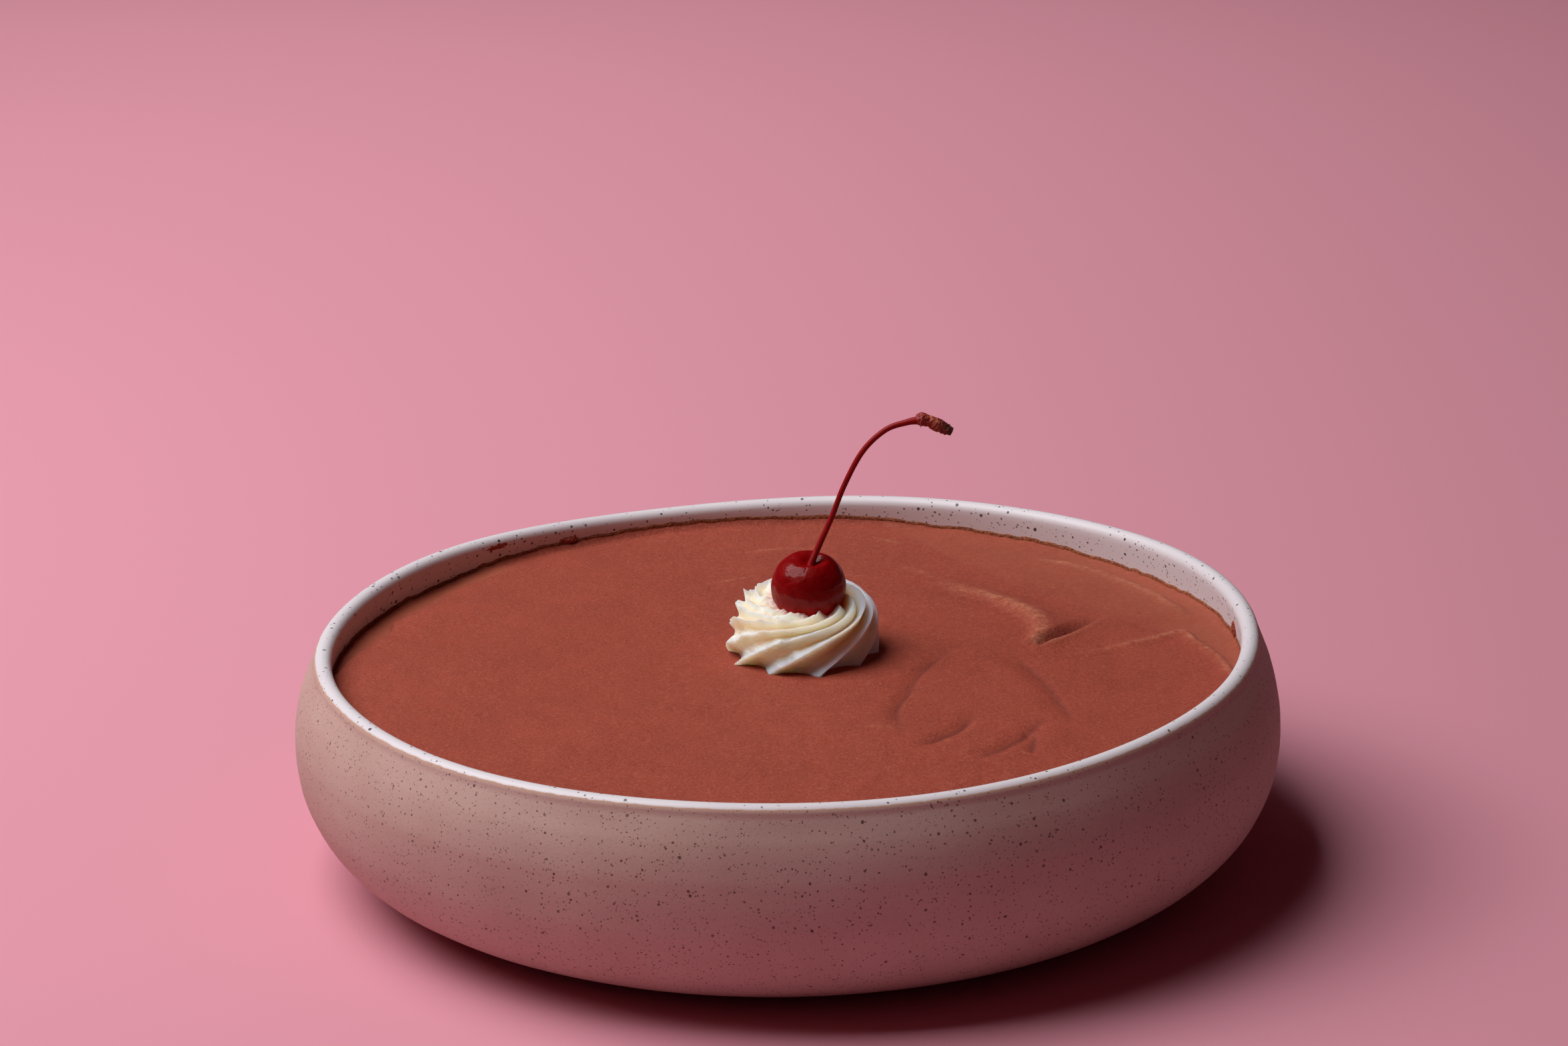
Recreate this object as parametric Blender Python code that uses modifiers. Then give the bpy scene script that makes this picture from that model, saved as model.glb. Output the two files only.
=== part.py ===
"""Chocolate mousse in its stoneware bowl, with a piped rosette of cream and a cocktail cherry.

Metres, +Z up. The origin is the middle of the bowl's underside. Azimuths run
anticlockwise from +X as seen from above, and -Y is the front.
"""

import math

import bpy
from mathutils import Vector

MM = 0.001
GAP = 0.3 * MM                      # air left between two pieces that touch

# Bowl: a thrown stoneware serving bowl, widest at the belly and drawn in at the rim.
BELLY_RADIUS = 125.0 * MM
BELLY_HEIGHT = 36.2 * MM
BASE_RADIUS = 81.3 * MM
RIM_RADIUS = 119.4 * MM
RIM_HEIGHT = 58.1 * MM
LIP_WIDTH = 4.7 * MM                # wall thickness where the lip turns over
LIP_ROUNDING = 2.3 * MM
LIP_FOOT = RIM_HEIGHT - LIP_ROUNDING    # where the wall ends and the lip's rounding begins
WALL = 7.5 * MM                     # at the belly
FLOOR = 8.0 * MM
FOOT_RECESS_RADIUS = 64.0 * MM
FOOT_RECESS_DEPTH = 2.0 * MM
BELLY_SQUARENESS = 2.33             # exponent of the belly's curve; 2 would be an ellipse
WALL_STRAIGHTENING = 1.2            # above 1, the inner wall stands up straight near the lip
BOWL_STEPS = 72

# The rim was thrown a little out of true: (waves round the rim, rise, azimuth of a peak).
RIM_WAVES = [
    (1, 1.61 * MM, math.radians(37)),
    (2, 1.01 * MM, math.radians(10)),
    (3, 0.31 * MM, math.radians(31)),
    (4, 0.16 * MM, math.radians(59)),
    (5, 0.12 * MM, math.radians(2)),
    (6, 0.24 * MM, math.radians(19)),
]

# Mousse: fills the bowl to just below the rim.
MOUSSE_LEVEL = 50.8 * MM
MOUSSE_CLIMB = 0.6 * MM             # how far it clings up the wall
MOUSSE_CLIMB_WIDTH = 5.0 * MM
MOUSSE_SLOPE = 0.006                # a touch fuller on the +X side
# Where the spoon left it proud or hollow: (x, y, width, rise).
MOUSSE_SWELLS = [
    (64.0 * MM, 38.0 * MM, 18.0 * MM, 0.9 * MM),
    (82.0 * MM, 12.0 * MM, 16.0 * MM, -0.8 * MM),
    (50.0 * MM, -36.0 * MM, 20.0 * MM, -0.5 * MM),
    (-62.0 * MM, -20.0 * MM, 26.0 * MM, 0.4 * MM),
]
MOUSSE_RINGS = 9
MOUSSE_FREEBOARD = 4.0 * MM         # the wall's points stay this far below the top

# Rosette: one turn of cream from an open star nozzle.
CREAM_CENTRE = Vector((4.8 * MM, 3.5 * MM))
CREAM_RING_RADIUS = 10.3 * MM       # middle of the piped strand
CREAM_STRAND = 8.9 * MM             # half the strand's width
CREAM_HEIGHT = 13.9 * MM
CREAM_RIDGES = 10
CREAM_RIDGE_DEPTH = 1.5 * MM
CREAM_WRAP = math.radians(230)      # how far round a ridge runs as it climbs
CREAM_TOP_TURN = math.radians(140)  # the strand's section runs from its foot to here
CREAM_TILT = 0.12                   # the strand stands taller behind and lower at the front
CREAM_STEPS = 70
CREAM_ROWS = 18

# Cherry and its stem.
CHERRY_CENTRE = Vector((6.0, 3.5, 68.0)) * MM
CHERRY_RADIUS = 9.35 * MM
CHERRY_HALF_HEIGHT = 8.7 * MM
CHERRY_DIMPLE_DEPTH = 1.7 * MM
CHERRY_DIMPLE_RADIUS = 2.7 * MM
CHERRY_LEAN = math.radians(6)       # towards +X
CHERRY_NOD = math.radians(14)       # towards the front
CHERRY_STEPS = 24
CHERRY_ROWS = 14

STEM_RADIUS = 0.72 * MM
# The stem's route: (x, y, z, thickness compared with STEM_RADIUS). It ends in the
# woody knob that held it on the twig.
STEM_ROUTE = [
    (6.9, 1.6, 75.9, 1.35),
    (8.7, 2.6, 79.1, 1.15),
    (12.0, 3.2, 86.5, 1.0),
    (15.4, 3.5, 95.0, 1.0),
    (20.1, 3.5, 103.7, 1.0),
    (25.8, 3.5, 109.1, 1.0),
    (31.5, 3.5, 111.1, 1.1),
    (34.7, 3.5, 111.4, 1.5),
    (36.5, 3.5, 111.1, 2.25),
    (39.7, 3.5, 109.8, 2.1),
    (42.3, 3.5, 108.5, 1.9),
]


# ---------------------------------------------------------------- small helpers

def make_collection(name):
    collection = bpy.data.collections.new(name)
    bpy.context.scene.collection.children.link(collection)
    return collection


def make_material(name, colour, roughness):
    material = bpy.data.materials.new(name)
    material.use_nodes = True
    shader = material.node_tree.nodes["Principled BSDF"]
    shader.inputs["Base Color"].default_value = (*colour, 1.0)
    shader.inputs["Roughness"].default_value = roughness
    shader.inputs["Metallic"].default_value = 0.0
    return material


def add_object(name, data, collection, material=None):
    item = bpy.data.objects.new(name, data)
    collection.objects.link(item)
    if material:
        data.materials.append(material)
    return item


def smooth(item, angle=math.radians(40)):
    item.data.shade_smooth()
    item.data.set_sharp_from_angle(angle=angle)


def ease(value, low, high):
    """0 below low, 1 above high, with a smooth run between."""
    share = min(max((value - low) / (high - low), 0.0), 1.0)
    return share * share * (3.0 - 2.0 * share)


def bump(distance, width):
    """A soft hill: 1 at the middle, about a third at one width."""
    return math.exp(-(distance / width) ** 2)


def turn(name, profile, steps, collection, material):
    """Turns (radius, height) points, which run down the outer side, into a closed mesh."""
    mesh = bpy.data.meshes.new(name + "_profile")
    points = [(radius, 0.0, height) for radius, height in profile]
    mesh.from_pydata(points, [(i, i + 1) for i in range(len(points) - 1)], [])
    outline = add_object(name + "_profile", mesh, collection)
    screw = outline.modifiers.new("Turn", "SCREW")
    screw.axis = "Z"
    screw.steps = steps
    screw.render_steps = steps
    screw.use_merge_vertices = True
    screw.merge_threshold = 0.00002
    view = bpy.context.evaluated_depsgraph_get()
    solid = bpy.data.meshes.new_from_object(outline.evaluated_get(view))
    solid.name = name
    bpy.data.objects.remove(outline)
    return add_object(name, solid, collection, material)


# ---------------------------------------------------------------- bowl

def belly_radius(height):
    """Radius of the bowl's outer side below the belly, which curves in to the base."""
    drop = min(max(1.0 - height / BELLY_HEIGHT, 0.0), 1.0)
    swell = (1.0 - drop ** BELLY_SQUARENESS) ** (1.0 / BELLY_SQUARENESS)
    return BASE_RADIUS + (BELLY_RADIUS - BASE_RADIUS) * swell


def shoulder_radius(height):
    """Radius of the outer side above the belly, which draws in to the rim."""
    share = (height - BELLY_HEIGHT) / (LIP_FOOT - BELLY_HEIGHT)
    return BELLY_RADIUS - (BELLY_RADIUS - RIM_RADIUS) * share ** 2


def inner_radius(height):
    """Radius of the bowl's inner side before the rim's waves."""
    if height > BELLY_HEIGHT:
        share = min((height - BELLY_HEIGHT) / (LIP_FOOT - BELLY_HEIGHT), 1.0)
        mouth = RIM_RADIUS - LIP_WIDTH
        return mouth + (BELLY_RADIUS - WALL - mouth) * (1.0 - share) ** WALL_STRAIGHTENING
    depth = (BELLY_HEIGHT - height) / (BELLY_HEIGHT - FLOOR)
    swell = (1.0 - min(depth, 1.0) ** BELLY_SQUARENESS) ** (1.0 / BELLY_SQUARENESS)
    floor_radius = BASE_RADIUS - 1.5 * WALL
    return floor_radius + (BELLY_RADIUS - WALL - floor_radius) * swell


def inner_heights():
    """Heights of the points down the inner wall, from the floor up to the lip."""
    curved = [BELLY_HEIGHT - (BELLY_HEIGHT - FLOOR) * math.sin(math.radians(angle))
              for angle in (90, 66, 44, 22)]
    return curved + [BELLY_HEIGHT + (LIP_FOOT - BELLY_HEIGHT) * share for share in (0.0, 0.25, 0.5, 0.75)]


def rim_rise(azimuth):
    return sum(rise * math.cos(waves * (azimuth - peak)) for waves, rise, peak in RIM_WAVES)


def wave_share(height):
    """How much of the rim's waves reaches this height: none at the belly, all at the rim."""
    return ease(height, BELLY_HEIGHT, RIM_HEIGHT)


def lifted(azimuth, height):
    return height + rim_rise(azimuth) * wave_share(height)


def wall_radius(azimuth, height):
    """Radius of the finished inner wall at a true height, waves included."""
    plain = height
    for _ in range(6):
        plain = height - rim_rise(azimuth) * wave_share(plain)
    return inner_radius(plain)


def bowl_profile():
    inside = [(0.0, FLOOR)] + [(inner_radius(height), height) for height in inner_heights()]
    corners = [(math.cos(angle), math.sin(angle)) for angle in map(math.radians, (0, 35, 75))]
    lip = [(RIM_RADIUS - LIP_WIDTH + LIP_ROUNDING * (1.0 - across), LIP_FOOT + LIP_ROUNDING * up)
           for across, up in corners]
    lip += [(RIM_RADIUS - LIP_ROUNDING * (1.0 - across), LIP_FOOT + LIP_ROUNDING * up)
            for across, up in reversed(corners)]
    shoulder = [BELLY_HEIGHT + (LIP_FOOT - BELLY_HEIGHT) * share for share in (0.66, 0.33, 0.0)]
    outside = [(shoulder_radius(height), height) for height in shoulder]
    for angle in (20, 40, 58, 75, 90):
        height = BELLY_HEIGHT * (1.0 - math.sin(math.radians(angle)))
        outside.append((belly_radius(height), height))
    foot = [(FOOT_RECESS_RADIUS + FOOT_RECESS_DEPTH, 0.0),
            (FOOT_RECESS_RADIUS, FOOT_RECESS_DEPTH),
            (0.0, FOOT_RECESS_DEPTH)]
    return inside + lip + outside + foot


def make_bowl(collection):
    glaze = make_material("stoneware", (0.70, 0.60, 0.55), 0.55)
    bowl = turn("bowl", bowl_profile(), BOWL_STEPS, collection, glaze)
    for vertex in bowl.data.vertices:
        azimuth = math.atan2(vertex.co.y, vertex.co.x)
        vertex.co.z = lifted(azimuth, vertex.co.z)
    smooth(bowl)


# ---------------------------------------------------------------- mousse

def mousse_height(x, y):
    """The spooned-level top: soft swells, and flat where the rosette sits."""
    height = MOUSSE_SLOPE * x
    for centre_x, centre_y, width, rise in MOUSSE_SWELLS:
        height += rise * bump(math.hypot(x - centre_x, y - centre_y), width)
    from_cream = math.hypot(x - CREAM_CENTRE.x, y - CREAM_CENTRE.y)
    return MOUSSE_LEVEL + height * ease(from_cream, 26.0 * MM, 42.0 * MM)


def mousse_edge(azimuth):
    """Height at which the top meets the wall."""
    reach = wall_radius(azimuth, MOUSSE_LEVEL)
    return mousse_height(reach * math.cos(azimuth), reach * math.sin(azimuth)) + MOUSSE_CLIMB


def mousse_profile():
    edge = inner_radius(MOUSSE_LEVEL)
    top = [(edge * i / MOUSSE_RINGS, MOUSSE_LEVEL) for i in range(MOUSSE_RINGS)]
    top.append((edge - 0.5 * MOUSSE_CLIMB_WIDTH, MOUSSE_LEVEL))
    top.append((edge, MOUSSE_LEVEL))
    side = [(inner_radius(height), height) for height in inner_heights()
            if height < MOUSSE_LEVEL - MOUSSE_FREEBOARD]
    return top + side[::-1] + [(0.0, FLOOR)]


def make_mousse(collection):
    chocolate = make_material("chocolate_mousse", (0.33, 0.12, 0.07), 0.7)
    mousse = turn("mousse", mousse_profile(), BOWL_STEPS, collection, chocolate)
    plain_edge = inner_radius(MOUSSE_LEVEL)
    for vertex in mousse.data.vertices:
        radius = math.hypot(vertex.co.x, vertex.co.y)
        azimuth = math.atan2(vertex.co.y, vertex.co.x)
        height = vertex.co.z
        if height > MOUSSE_LEVEL - 0.01 * MM:
            reach = wall_radius(azimuth, mousse_edge(azimuth)) - GAP
            radius *= reach / plain_edge
            height = mousse_height(radius * math.cos(azimuth), radius * math.sin(azimuth))
            height += MOUSSE_CLIMB * ease(radius, reach - MOUSSE_CLIMB_WIDTH, reach)
        else:
            radius = max(radius - GAP, 0.0)
            height = lifted(azimuth, height) + GAP
        vertex.co = (radius * math.cos(azimuth), radius * math.sin(azimuth), height)
    smooth(mousse)


# ---------------------------------------------------------------- cream

def cream_section():
    """The plain strand's outline, from its hollow over the top and down to its foot."""
    points = [(0.0, CREAM_HEIGHT * math.sin(CREAM_TOP_TURN))]
    for i in range(CREAM_ROWS):
        turned = CREAM_TOP_TURN * (1.0 - i / (CREAM_ROWS - 1))
        points.append((CREAM_RING_RADIUS + CREAM_STRAND * math.cos(turned),
                       CREAM_HEIGHT * math.sin(turned)))
    return points + [(0.0, 0.0)]


def ridged(point):
    """Moves a point of the plain strand out to the star nozzle's ridges, and winds it round."""
    radius = math.hypot(point.x, point.y)
    start = math.atan2(point.y, point.x)
    across = Vector(((radius - CREAM_RING_RADIUS) / CREAM_STRAND, point.z / CREAM_HEIGHT))
    if abs(across.length - 1.0) > 0.01:
        return point.copy()
    climb = math.atan2(across.y, across.x) / CREAM_TOP_TURN
    azimuth = start + CREAM_WRAP * climb
    push = CREAM_RIDGE_DEPTH * math.cos(CREAM_RIDGES * start) * (1.0 - climb ** 3)
    radius += push * across.x
    height = point.z + push * across.y
    height *= 1.0 + CREAM_TILT * math.sin(azimuth) * ease(climb, 0.0, 0.5)
    return Vector((radius * math.cos(azimuth), radius * math.sin(azimuth), height))


def make_cream(collection, cutters):
    whipped = make_material("whipped_cream", (0.90, 0.84, 0.72), 0.5)
    cream = turn("cream_rosette", cream_section(), CREAM_STEPS, collection, whipped)
    for vertex in cream.data.vertices:
        vertex.co = ridged(vertex.co)
    cream.location = (CREAM_CENTRE.x, CREAM_CENTRE.y, MOUSSE_LEVEL + GAP)
    smooth(cream, math.radians(60))

    socket = turn("cherry_socket", cherry_profile(GAP), CHERRY_STEPS, cutters, whipped)
    place_cherry(socket)
    socket.hide_render = True
    socket.display_type = "WIRE"
    cut = cream.modifiers.new("Socket", "BOOLEAN")
    cut.operation = "DIFFERENCE"
    cut.solver = "EXACT"
    cut.object = socket


# ---------------------------------------------------------------- cherry

def cherry_profile(spare=0.0):
    """Outline of the fruit, down its outer side from the dimple the stem grew in."""
    points = []
    for i in range(CHERRY_ROWS + 1):
        angle = math.pi * (0.5 - i / CHERRY_ROWS)
        radius = (CHERRY_RADIUS + spare) * math.cos(angle)
        height = (CHERRY_HALF_HEIGHT + spare) * math.sin(angle)
        if angle > 0.0:
            height -= CHERRY_DIMPLE_DEPTH * bump(radius, CHERRY_DIMPLE_RADIUS)
        points.append((0.0 if i in (0, CHERRY_ROWS) else radius, height))
    return points


def place_cherry(item):
    item.location = CHERRY_CENTRE
    item.rotation_euler = (CHERRY_NOD, CHERRY_LEAN, 0.0)


def make_cherry(collection):
    skin = make_material("cherry_skin", (0.32, 0.01, 0.01), 0.12)
    cherry = turn("cherry", cherry_profile(), CHERRY_STEPS, collection, skin)
    place_cherry(cherry)
    smooth(cherry, math.radians(60))


def make_stem(collection):
    skin = make_material("cherry_stem", (0.42, 0.03, 0.03), 0.35)
    path = bpy.data.curves.new("cherry_stem", "CURVE")
    path.dimensions = "3D"
    path.bevel_depth = STEM_RADIUS
    path.bevel_resolution = 2
    path.use_fill_caps = True
    path.resolution_u = 3
    spline = path.splines.new("BEZIER")
    spline.bezier_points.add(len(STEM_ROUTE) - 1)
    for point, (x, y, z, thickness) in zip(spline.bezier_points, STEM_ROUTE):
        point.co = (x * MM, y * MM, z * MM)
        point.handle_left_type = "AUTO"
        point.handle_right_type = "AUTO"
        point.radius = thickness
    add_object("cherry_stem", path, collection, skin)


def main():
    for item in list(bpy.data.objects):
        bpy.data.objects.remove(item)
    parts = make_collection("chocolate_mousse")
    cutters = make_collection("cutters")
    make_bowl(parts)
    make_mousse(parts)
    make_cream(parts, cutters)
    make_cherry(parts)
    make_stem(parts)


main()
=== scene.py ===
"""Looks of a chocolate mousse in a half-glazed stoneware bowl, with cream and a cherry.

Metres, +Z up. The bowl stands on the origin, -Y is the front, and azimuths run
anticlockwise from +X as seen from above.
"""

import math

import bmesh
import bpy
import numpy as np
from mathutils import Euler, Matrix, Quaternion, Vector


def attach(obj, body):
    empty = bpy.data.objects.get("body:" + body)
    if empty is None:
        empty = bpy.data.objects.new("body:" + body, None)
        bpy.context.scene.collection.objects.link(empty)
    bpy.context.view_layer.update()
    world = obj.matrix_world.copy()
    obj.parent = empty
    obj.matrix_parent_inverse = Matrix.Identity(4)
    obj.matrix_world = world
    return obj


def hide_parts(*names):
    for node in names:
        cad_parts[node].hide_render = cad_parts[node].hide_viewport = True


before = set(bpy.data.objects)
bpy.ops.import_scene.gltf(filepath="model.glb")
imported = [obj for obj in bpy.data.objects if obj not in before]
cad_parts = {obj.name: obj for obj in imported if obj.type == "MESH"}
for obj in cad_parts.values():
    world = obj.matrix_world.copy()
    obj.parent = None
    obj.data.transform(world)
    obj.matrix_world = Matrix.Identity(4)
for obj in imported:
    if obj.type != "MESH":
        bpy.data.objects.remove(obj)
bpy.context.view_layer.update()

MM = 0.001
SINK = 0.3 * MM                     # how far the food reaches into what it touches, so no gap shows


# ================================================================ numbers and noise

def ease(value, low, high):
    """0 below low, 1 above high, with a smooth run between."""
    share = np.clip((value - low) / (high - low), 0.0, 1.0)
    return share * share * (3.0 - 2.0 * share)


def hill(distance, width):
    return np.exp(-(distance / width) ** 2)


def lattice(i, j, k, seed):
    """A fixed value between -1 and 1 for each whole-numbered point."""
    mixed = (i * 374761393 + j * 668265263 + k * 2147483629 + seed * 974634777) & 0xFFFFFFFF
    mixed = ((mixed ^ (mixed >> 13)) * 1274126177) & 0xFFFFFFFF
    return ((mixed ^ (mixed >> 16)) & 0xFFFF) / 32767.5 - 1.0


def lumps(x, y, z, size, seed):
    """Smooth noise between -1 and 1 whose lumps are about size across."""
    spots = [np.asarray(value, float) / size for value in np.broadcast_arrays(x, y, z)]
    cells = [np.floor(spot).astype(np.int64) for spot in spots]
    shares = [spot - cell for spot, cell in zip(spots, cells)]
    weights = [share ** 3 * (share * (share * 6.0 - 15.0) + 10.0) for share in shares]
    total = 0.0
    for corner in range(8):
        steps = (corner & 1, corner >> 1 & 1, corner >> 2)
        weight = 1.0
        for step, share in zip(steps, weights):
            weight = weight * (share if step else 1.0 - share)
        total = total + weight * lattice(*(cell + step for cell, step in zip(cells, steps)), seed)
    return total


def rough(x, y, z, size, seed, layers=3):
    """Noise with finer lumps on coarser ones."""
    return sum(lumps(x, y, z, size / 2 ** n, seed + n) / 2 ** n for n in range(layers))


def curve_through(points, steps=24):
    """A smooth run of points through a few, as a spline through all of them."""
    knots = np.asarray(points, float)
    ends = np.vstack([2 * knots[0] - knots[1], knots, 2 * knots[-1] - knots[-2]])
    t = np.linspace(0.0, 1.0, steps, endpoint=False)[:, None]
    runs = []
    for a, b, c, d in zip(ends, ends[1:], ends[2:], ends[3:]):
        runs.append(0.5 * (2 * b + (c - a) * t + (2 * a - 5 * b + 4 * c - d) * t ** 2
                           + (3 * b - a - 3 * c + d) * t ** 3))
    return np.vstack(runs + [knots[-1:]])


def beside(x, y, points):
    """Signed distance from a curve, positive to its right, and how far along it, 0 to 1."""
    line = curve_through(points, 10)
    nearest = np.full(np.shape(x), np.inf)
    side = np.zeros(np.shape(x))
    along = np.zeros(np.shape(x))
    lengths = np.hypot(*(line[1:] - line[:-1]).T)
    reached = np.concatenate([[0.0], np.cumsum(lengths)]) / lengths.sum()
    for i, (start, end) in enumerate(zip(line, line[1:])):
        run_x, run_y = end - start
        off_x, off_y = x - start[0], y - start[1]
        share = np.clip((off_x * run_x + off_y * run_y) / (run_x ** 2 + run_y ** 2), 0.0, 1.0)
        gap = np.hypot(off_x - share * run_x, off_y - share * run_y)
        closer = gap < nearest
        nearest = np.where(closer, gap, nearest)
        side = np.where(closer, np.sign(off_x * run_y - off_y * run_x), side)
        along = np.where(closer, reached[i] + share * (reached[i + 1] - reached[i]), along)
    return nearest * side, along


def fading(along, start=0.2, end=0.2):
    return ease(along, 0.0, start) * (1.0 - ease(along, 1.0 - end, 1.0))


# ================================================================ meshes and materials

def numbered(points):
    """The places of a grid's points, row by row, in its mesh."""
    rows, columns = points.shape[:2]
    return np.arange(rows * columns).reshape(rows, columns)


def border(grid):
    """The values once round the edge of a grid."""
    return np.concatenate([grid[0, :-1], grid[:-1, -1], grid[-1, :0:-1], grid[:0:-1, 0]])


def woven(name, rows, capped=False):
    """A mesh from a grid of points, (row, column, xyz), joined round its columns."""
    index = numbered(rows)
    right = np.roll(index, -1, axis=1)
    quads = np.stack([index[:-1], right[:-1], right[1:], index[1:]], axis=-1).reshape(-1, 4)
    points = rows.reshape(-1, 3)
    faces = quads.tolist()
    if capped:
        for row, turned in ((0, True), (-1, False)):
            middle = len(points)
            points = np.vstack([points, rows[row].mean(axis=0)])
            ring = index[row]
            for a, b in zip(ring.tolist(), np.roll(ring, -1).tolist()):
                faces.append((b, a, middle) if turned else (a, b, middle))
    mesh = bpy.data.meshes.new(name)
    mesh.from_pydata(points.tolist(), [], faces)
    mesh.validate()
    mesh.shade_smooth()
    return mesh


def mark(mesh, name, values):
    """Stores one number for each point, for the material to read."""
    layer = mesh.attributes.new(name, "FLOAT", "POINT")
    padded = np.zeros(len(mesh.vertices), np.float32)
    padded[:np.size(values)] = np.ravel(values)
    layer.data.foreach_set("value", padded)


def serve(name, mesh, material, replaced=None):
    """Puts a piece on the bowl's body."""
    piece = bpy.data.objects.new(name, mesh)
    bpy.context.scene.collection.objects.link(piece)
    mesh.materials.append(material)
    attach(piece, "root")
    if replaced:
        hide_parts(replaced)
    return piece


def linear(hex_colour):
    """An sRGB hex colour as the linear colour that a shader takes."""
    channels = [int(hex_colour[i:i + 2], 16) / 255.0 for i in (1, 3, 5)]
    return (*(c / 12.92 if c <= 0.04045 else ((c + 0.055) / 1.055) ** 2.4 for c in channels), 1.0)


def new_material(name):
    """A material and its empty node tree."""
    material = bpy.data.materials.new(name)
    material.use_nodes = True
    material.node_tree.nodes.clear()
    return material, material.node_tree


def add(tree, kind, inputs=None, **settings):
    """Adds a node with its settings, and links or sets its inputs."""
    node = tree.nodes.new("ShaderNode" + kind)
    for setting, value in settings.items():
        setattr(node, setting, value)
    for socket, value in (inputs or {}).items():
        if isinstance(value, bpy.types.NodeSocket):
            tree.links.new(value, node.inputs[socket])
        else:
            node.inputs[socket].default_value = value
    return node


# ================================================================ the bowl's form

BELLY_RADIUS = 125.0 * MM
BELLY_HEIGHT = 36.2 * MM
BASE_RADIUS = 81.3 * MM
RIM_RADIUS = 119.4 * MM
RIM_HEIGHT = 58.1 * MM
LIP_WIDTH = 4.7 * MM
LIP_ROUNDING = 2.3 * MM
LIP_FOOT = RIM_HEIGHT - LIP_ROUNDING
WALL = 7.5 * MM
FLOOR = 8.0 * MM
FOOT_RECESS_RADIUS = 64.0 * MM
FOOT_RECESS_DEPTH = 2.0 * MM
BELLY_SQUARENESS = 2.33
WALL_STRAIGHTENING = 1.2
GLAZE_STOPS_SHORT = 1.2 * MM        # of the foot of the lip's outer rounding
BOWL_STEPS = 360

# The rim was thrown a little out of true: (waves round the rim, rise, azimuth of a peak).
RIM_WAVES = [
    (1, 1.61 * MM, math.radians(37)),
    (2, 1.01 * MM, math.radians(10)),
    (3, 0.31 * MM, math.radians(31)),
    (4, 0.16 * MM, math.radians(59)),
    (5, 0.12 * MM, math.radians(2)),
    (6, 0.24 * MM, math.radians(19)),
]


def shoulder_radius(height):
    share = (height - BELLY_HEIGHT) / (LIP_FOOT - BELLY_HEIGHT)
    return BELLY_RADIUS - (BELLY_RADIUS - RIM_RADIUS) * share ** 2


def belly_radius(height):
    drop = np.clip(1.0 - height / BELLY_HEIGHT, 0.0, 1.0)
    swell = (1.0 - drop ** BELLY_SQUARENESS) ** (1.0 / BELLY_SQUARENESS)
    return BASE_RADIUS + (BELLY_RADIUS - BASE_RADIUS) * swell


def inner_radius(height):
    mouth = RIM_RADIUS - LIP_WIDTH
    share = np.clip((height - BELLY_HEIGHT) / (LIP_FOOT - BELLY_HEIGHT), 0.0, 1.0)
    upper = mouth + (BELLY_RADIUS - WALL - mouth) * (1.0 - share) ** WALL_STRAIGHTENING
    depth = np.clip((BELLY_HEIGHT - height) / (BELLY_HEIGHT - FLOOR), 0.0, 1.0)
    swell = (1.0 - depth ** BELLY_SQUARENESS) ** (1.0 / BELLY_SQUARENESS)
    floor_radius = BASE_RADIUS - 1.5 * WALL
    lower = floor_radius + (BELLY_RADIUS - WALL - floor_radius) * swell
    return np.where(height > BELLY_HEIGHT, upper, lower)


def rim_rise(azimuth):
    return sum(rise * np.cos(waves * (azimuth - peak)) for waves, rise, peak in RIM_WAVES)


def lifted(azimuth, height):
    """True height of a point of the bowl, once the rim's waves have lifted it."""
    return height + rim_rise(azimuth) * ease(height, BELLY_HEIGHT, RIM_HEIGHT)


def wall_radius(azimuth, height):
    """Radius of the finished inner wall at a true height."""
    plain = height
    for _ in range(8):
        plain = height - rim_rise(azimuth) * ease(plain, BELLY_HEIGHT, RIM_HEIGHT)
    return inner_radius(plain)


def bowl_outline():
    """(radius, height, run past the glaze line) from the floor up, over the lip and down."""
    inside = [(radius, FLOOR) for radius in np.linspace(0.5 * MM, 60.0 * MM, 4)]
    for angle in np.radians(np.linspace(90, 8, 12)):
        height = BELLY_HEIGHT - (BELLY_HEIGHT - FLOOR) * math.sin(angle)
        inside.append((float(inner_radius(height)), height))
    inside += [(float(inner_radius(height)), height)
               for height in np.linspace(BELLY_HEIGHT, LIP_FOOT, 16, endpoint=False)]
    turned = np.radians(np.linspace(0, 90, 8))
    rounding = [(LIP_ROUNDING * (1.0 - math.cos(a)), LIP_FOOT + LIP_ROUNDING * math.sin(a)) for a in turned]
    inner_lip = [(RIM_RADIUS - LIP_WIDTH + inward, height) for inward, height in rounding]
    outer_lip = [(RIM_RADIUS - inward, height) for inward, height in rounding[::-1]]
    shoulder = [(shoulder_radius(height), height)
                for height in np.linspace(LIP_FOOT, BELLY_HEIGHT, 20, endpoint=False)[1:]]
    belly = [(float(belly_radius(height)), height)
             for height in BELLY_HEIGHT * (1.0 - np.sin(np.radians(np.linspace(0, 90, 30))))]
    foot = [(FOOT_RECESS_RADIUS + FOOT_RECESS_DEPTH, 0.0), (FOOT_RECESS_RADIUS, FOOT_RECESS_DEPTH),
            (0.5 * MM, FOOT_RECESS_DEPTH)]
    outline = np.array(inside + inner_lip + outer_lip + shoulder + belly + foot)
    steps = np.hypot(*np.diff(outline, axis=0).T)
    run = np.concatenate([[0.0], np.cumsum(steps)])
    glaze_end = run[len(inside) + len(inner_lip) + len(outer_lip) - 2]
    return outline, (run - glaze_end + GLAZE_STOPS_SHORT) / MM


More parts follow.
